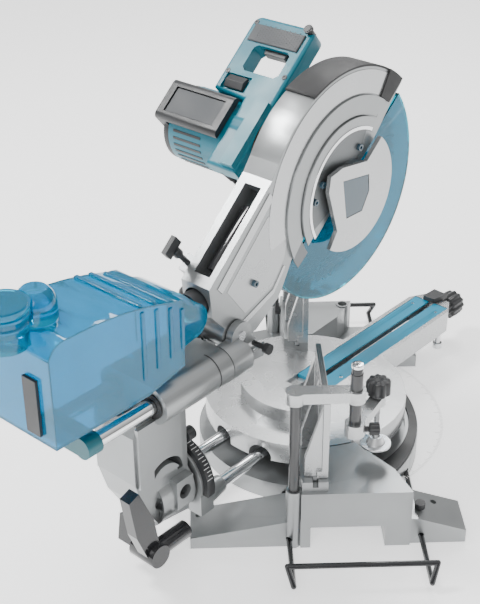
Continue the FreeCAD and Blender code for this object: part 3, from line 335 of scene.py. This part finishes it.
MOTOR_A, MOTOR_B, VENT_RADIUS = 262, 22, 57.2
bm = bmesh.new()
for row in range(9):
    angle = math.radians(118 + row * 11)
    a, b = MOTOR_A + VENT_RADIUS * math.cos(angle), MOTOR_B + VENT_RADIUS * math.sin(angle)
    spin = Matrix.Translation((a, 0, b)) @ Matrix.Rotation(-angle, 4, "Y")
    block(bm, (-0.8, 0.5), (150, 204), (-2.0, 2.0), spin)
piece("motor_vents", bm, BLACK, "head", HEAD, 0.3)

bm = bmesh.new()
for row in range(17):
    for column in range(6):
        lathe(bm, [(0.9, 0), (0.9, 0.3), (0.5, 0.45)], (395 + column * 4.4 + row % 2 * 2.2, 72 + row * 4.6, 81.0),
              "z", 8)
piece("grip_pimples", bm, BLACK, "head", HEAD, 0)

# ---------------------------------------------------------------- turned knobs that stand for plain ones
bm = bmesh.new()
lathe(bm, [(7, -30), (7, 10), (17, 12), (18, 16), (18, 26), (22, 28), (23, 31), (23, 46), (21.5, 57), (17, 61),
           (8, 62)], (372, 0, 64), "x", 96, 12, 2.4)
grip = piece("grip_knob_moulded", bm, BLACK, "grip_knob", ARM, 0)
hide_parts("grip_knob")

bm = bmesh.new()
lathe(bm, [(10, 208), (16, 209), (18, 212), (18, 226), (16, 230.5), (9, 232), (4, 231)],
      (VISE_X, VISE_Y, 0), "z", 96, 9, 3.0)
knob = piece("vise_knob_moulded", bm, BLACK, "vise_screw", BASE, 0)
bm = bmesh.new()
THREAD_PITCH = 1.9
profile = [(3.2, 126)]
for index in range(40):
    root = 131 + index * THREAD_PITCH
    profile += [(3.2, root), (4.0, root + THREAD_PITCH / 2)]
lathe(bm, profile + [(3.2, 208)], (VISE_X, VISE_Y, 0), "z", 24)
thread = piece("vise_screw_thread", bm, STEEL, "vise_screw", BASE, 0, smooth=False)
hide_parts("vise_screw")

# ---------------------------------------------------------------- scales
SCALE_EDGE = 218
bm = bmesh.new()
for degree in range(-60, 61):
    length = 12 if degree % 15 == 0 else 8 if degree % 5 == 0 else 4.5
    angle = math.radians(degree - 90)
    spin = Matrix.Rotation(angle, 4, "Z")
    point = spin @ Vector((SCALE_EDGE, 0, 0))
    if abs(point.x) < 190:
        block(bm, (SCALE_EDGE - length, SCALE_EDGE), (-0.35, 0.35), (39.9, 40.25), spin)
piece("mitre_ticks", bm, WHITE, "base", BASE, 0, smooth=False)

bm = bmesh.new()
for degree in range(-75, 80, 5):
    reach = 3.5 if degree % 15 else 0
    spin = Matrix.Translation((0, 0, BEVEL_Z)) @ Matrix.Rotation(math.radians(degree), 4, "X")
    block(bm, (-293 + reach, -282.5), (-0.4, 0.4), (63.8, 64.2), spin)
piece("bevel_ticks", bm, WHITE, "lower_slide", ARM, 0, smooth=False)

# ---------------------------------------------------------------- seals, caps and small fittings
bm = bmesh.new()
for v in (-POLE_V, POLE_V):
    band(bm, (v, POLE_Z), 11.6, 18.5, 0, 360, -368.5, -365.8, "x")
piece("pole_wipers", bm, RUBBER, "bevel_arm", ARM, 0.5)
bm = bmesh.new()
band(bm, (-POLE_V, POLE_Z), 25.5, 27.35, 60, 300, -263.2, -261.2, "x")
piece("bearing_seam", bm, BLACK, "bevel_arm", ARM, 0)
bm = bmesh.new()
lathe(bm, [(6.2, -0.4), (8.1, 0), (8.1, 4), (7.2, 5.4), (4.4, 5.6), (4.0, 4.4)], (POST_X, POST_Y, POST_TOP), "z",
      48)
piece("vise_post_cap", bm, CHROME, "vise_swing", BASE, 0)
bm = bmesh.new()
lathe(bm, [(4, 0), (4, 5), (8.6, 6), (9, 8), (9, 18), (8, 19.5), (3, 20)],
      (POST_X, POST_Y - 14, 197), "-y", 72, 12, 1.0)
piece("vise_clamp_knob", bm, BLACK, "vise_swing", BASE, 0)

# ---------------------------------------------------------------- dust box ridges
bm = bmesh.new()
for u, low, high in ((-398, 312, 436), (-374, 318, 430), (-350, 322, 421), (-330, 326, 411)):
    block(bm, (u - 3, u + 3), (-58, 58), (high - 4, high + 3.0))
    block(bm, (u - 3, u + 3), (-62.0, -59.5), (low + 20, high - 6))
piece("dust_box_ridges", bm, CLEAR_BLUE, "head", ARM, 1.2)
bm = bmesh.new()
for z in (458, 470):
    lathe(bm, [(30.2, 0), (32.2, 1.5), (32.2, 4.5), (30.2, 6)], (-552, 6, z), "z", 48)
piece("dust_lid_rings", bm, CLEAR_BLUE, "dust_lid", ARM, 0.3)


# ---------------------------------------------------------------- cords
CORD_WIDE = 0.007


def flex(name, points, body, place, nodes):
    """Round cord on a smooth spline."""
    curve = bpy.data.curves.new(name, "CURVE")
    curve.dimensions = "3D"
    spline = curve.splines.new("NURBS")
    spline.points.add(len(points) - 1)
    for target, point in zip(spline.points, points):
        target.co = (*(place @ (Vector(point) * MM)), 1)
    spline.order_u = 3
    spline.use_endpoint_u = True
    curve.bevel_depth = CORD_WIDE / 2
    curve.bevel_resolution = 5
    curve.use_fill_caps = True
    curve.resolution_u = 10
    curve.materials.append(RUBBER)
    obj = bpy.data.objects.new(name, curve)
    bpy.context.scene.collection.objects.link(obj)
    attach(obj, body)
    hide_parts(*nodes)
    plain = curve.copy()
    plain.bevel_depth = 0
    probe = bpy.data.objects.new("probe", plain)
    mesh = bpy.data.meshes.new_from_object(probe)
    drawn = sum((mesh.vertices[e.vertices[0]].co - mesh.vertices[e.vertices[1]].co).length for e in mesh.edges)
    print(f"{name}: drawn {drawn:.4f} m")
    bpy.data.objects.remove(probe)
    bpy.data.meshes.remove(mesh)
    return obj


flex("head_flex", [(199, 92, 45), (199, 92, -5), (176, 64, -30), (138, 31, -28), (98, 31, -28)], "head", HEAD,
     ["head_lead"])
route = [(258, 130, 12), (306, 130, 12), (352, 112, 6)]
COIL_X, COIL_Y, COIL_RADIUS = 385, 150, 42
turns, per_turn = 8, 14
for step in range(turns * per_turn + 7):
    angle = -math.pi / 2 + 2 * math.pi * step / per_turn
    layer = step / (turns * per_turn)
    radius = COIL_RADIUS + 5.5 * math.cos(2 * math.pi * layer * 3)
    route.append((COIL_X + radius * math.cos(angle), COIL_Y + radius * math.sin(angle),
                  10.2 - 6.4 * math.cos(2 * math.pi * layer * 2.5)))
route.append((404, 192, 9))
flex("mains_flex", route, "base", BASE, ["mains_lead", "mains_coil"])

# ---------------------------------------------------------------- floor, light, camera
floor = bmesh.new()
bmesh.ops.create_grid(floor, x_segments=1, y_segments=1, size=40)
mesh = bpy.data.meshes.new("floor")
floor.to_mesh(mesh)
floor.free()
paper = finish("floor_white", (0.90, 0.90, 0.90), 0.85, grain=30, mottle=0.004, smudge=0.02, specular=0.1)
paper.node_tree.nodes["Principled BSDF"].inputs["Emission Color"].default_value = (1, 1, 1, 1)
paper.node_tree.nodes["Principled BSDF"].inputs["Emission Strength"].default_value = 1.0
mesh.materials.append(paper)
ground = bpy.data.objects.new("floor", mesh)
bpy.context.scene.collection.objects.link(ground)

world = bpy.data.worlds.new("studio")
bpy.context.scene.world = world
world.use_nodes = True
tree = world.node_tree
sky = tree.nodes.new("ShaderNodeTexCoord")
height = tree.nodes.new("ShaderNodeSeparateXYZ")
tree.links.new(sky.outputs["Generated"], height.inputs["Vector"])
fade = tree.nodes.new("ShaderNodeMapRange")
fade.inputs["From Min"].default_value = 0.0
fade.inputs["From Max"].default_value = 0.8
fade.inputs["To Min"].default_value = 0.22
fade.inputs["To Max"].default_value = 1.0
tree.links.new(height.outputs["Z"], fade.inputs["Value"])
tree.links.new(fade.outputs["Result"], tree.nodes["Background"].inputs["Strength"])
tree.nodes["Background"].inputs["Color"].default_value = (1, 1, 1, 1)


def lamp(name, at, target, size, power):
    light = bpy.data.lights.new(name, "AREA")
    light.shape = "DISK"
    light.size = size
    light.energy = power
    obj = bpy.data.objects.new(name, light)
    obj.location = at
    obj.rotation_euler = (Vector(target) - Vector(at)).to_track_quat("-Z", "Y").to_euler()
    bpy.context.scene.collection.objects.link(obj)


lamp("key", (0.3, 1.5, 2.3), (0, 0, 0.2), 0.7, 62)
lamp("fill", (-2.2, 0.8, 1.5), (0, 0, 0.25), 1.2, 20)
lamp("rim", (1.6, -0.4, 1.9), (0, 0, 0.3), 0.9, 24)

camera = bpy.data.cameras.new("camera")
camera.lens = 74.03
camera.sensor_width = 36
camera.clip_start = 0.05
eye = bpy.data.objects.new("camera", camera)
right, up = Vector((-0.03078, -0.99950, -0.00712)), Vector((0.49686, -0.02148, 0.86756))
back = -Vector((0.86728, -0.02317, -0.49728))
turn = Matrix((right, up, back)).transposed().to_4x4()
eye.matrix_world = Matrix.Translation((-1.6224, 0.1450, 1.1812)) @ turn
bpy.context.scene.collection.objects.link(eye)
bpy.context.scene.camera = eye
